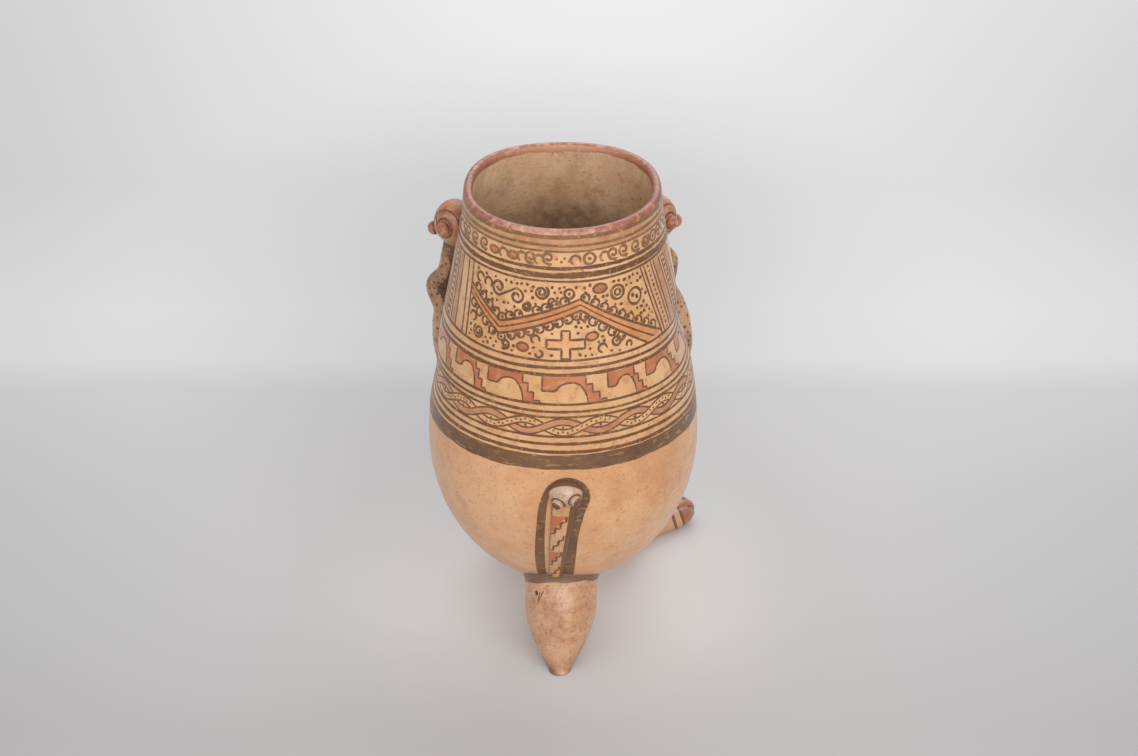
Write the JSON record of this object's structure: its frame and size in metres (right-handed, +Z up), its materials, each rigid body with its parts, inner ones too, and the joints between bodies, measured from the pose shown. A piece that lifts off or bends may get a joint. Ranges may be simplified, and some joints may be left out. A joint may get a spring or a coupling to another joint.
{
  "type": "feline effigy tripod jar",
  "caption": "Pear-shaped painted earthenware jar in the form of a feline, with head, raised arms, tail strap and hollow tripod legs holding loose rattle pellets; open at the top.",
  "frame": {"origin": "on the floor under the middle of the whole vessel's bounding box", "axes": "+Z up along the jar; the feline faces -Y, its tail and rear leg are on +Y, its left side is +X"},
  "size_m": [0.1842, 0.2628, 0.325],
  "materials": {
    "buff_clay": "burnished low-fired buff earthenware",
    "painted_wall": "cream slip with dark and red slip painting, burnished",
    "red_slip": "burnished red iron slip",
    "cream_slip": "cream slip, worn",
    "dark_slip": "dark brown slip, worn",
    "rattle_clay": "bare fired clay"
  },
  "bodies": {
    "jar": {"jar_lower_bowl": "buff_clay", "rear_leg": "buff_clay", "left_hind_leg": "buff_clay", "right_hind_leg": "buff_clay", "left_arm": "buff_clay", "right_arm": "buff_clay", "head_shell": "buff_clay", "upper_jaw": "buff_clay", "lower_jaw": "buff_clay", "left_ear": "buff_clay", "right_ear": "buff_clay", "jar_upper_wall": "painted_wall", "rim_coil": "red_slip", "left_hind_foot": "red_slip", "right_hind_foot": "red_slip", "left_paw": "red_slip", "right_paw": "red_slip", "left_paw_bead_1": "red_slip", "left_paw_bead_2": "red_slip", "right_paw_bead_1": "red_slip", "right_paw_bead_2": "red_slip", "tongue": "red_slip", "tail_strap": "cream_slip", "tail_knob": "cream_slip", "left_eye": "cream_slip", "right_eye": "cream_slip", "left_upper_fang": "cream_slip", "right_upper_fang": "cream_slip", "left_lower_fang": "cream_slip", "right_lower_fang": "cream_slip", "tail_bead_1": "dark_slip", "tail_bead_2": "dark_slip", "left_eyelid": "dark_slip", "right_eyelid": "dark_slip", "nose": "dark_slip"},
    "rear_leg_rattle_1_body": {"rear_leg_rattle_1": "rattle_clay"},
    "rear_leg_rattle_2_body": {"rear_leg_rattle_2": "rattle_clay"},
    "left_hind_leg_rattle_1_body": {"left_hind_leg_rattle_1": "rattle_clay"},
    "left_hind_leg_rattle_2_body": {"left_hind_leg_rattle_2": "rattle_clay"},
    "right_hind_leg_rattle_1_body": {"right_hind_leg_rattle_1": "rattle_clay"},
    "right_hind_leg_rattle_2_body": {"right_hind_leg_rattle_2": "rattle_clay"}
  },
  "joints": [
    {"name": "rear_leg_rattle_1_slide", "type": "slide", "parent": "jar", "child": "rear_leg_rattle_1_body", "axis": [-0.0144, -0.4846, 0.8746], "range_m": [0, 0.031]},
    {"name": "rear_leg_rattle_2_slide", "type": "slide", "parent": "jar", "child": "rear_leg_rattle_2_body", "axis": [-0.0144, -0.4846, 0.8746], "range_m": [0, 0.031]},
    {"name": "left_hind_leg_rattle_1_slide", "type": "slide", "parent": "jar", "child": "left_hind_leg_rattle_1_body", "axis": [-0.1142, 0.3737, 0.9205], "range_m": [0, 0.038]},
    {"name": "left_hind_leg_rattle_2_slide", "type": "slide", "parent": "jar", "child": "left_hind_leg_rattle_2_body", "axis": [-0.1142, 0.3737, 0.9205], "range_m": [0, 0.038]},
    {"name": "right_hind_leg_rattle_1_slide", "type": "slide", "parent": "jar", "child": "right_hind_leg_rattle_1_body", "axis": [0.1834, 0.345, 0.9205], "range_m": [0, 0.038]},
    {"name": "right_hind_leg_rattle_2_slide", "type": "slide", "parent": "jar", "child": "right_hind_leg_rattle_2_body", "axis": [0.1834, 0.345, 0.9205], "range_m": [0, 0.038]}
  ]
}
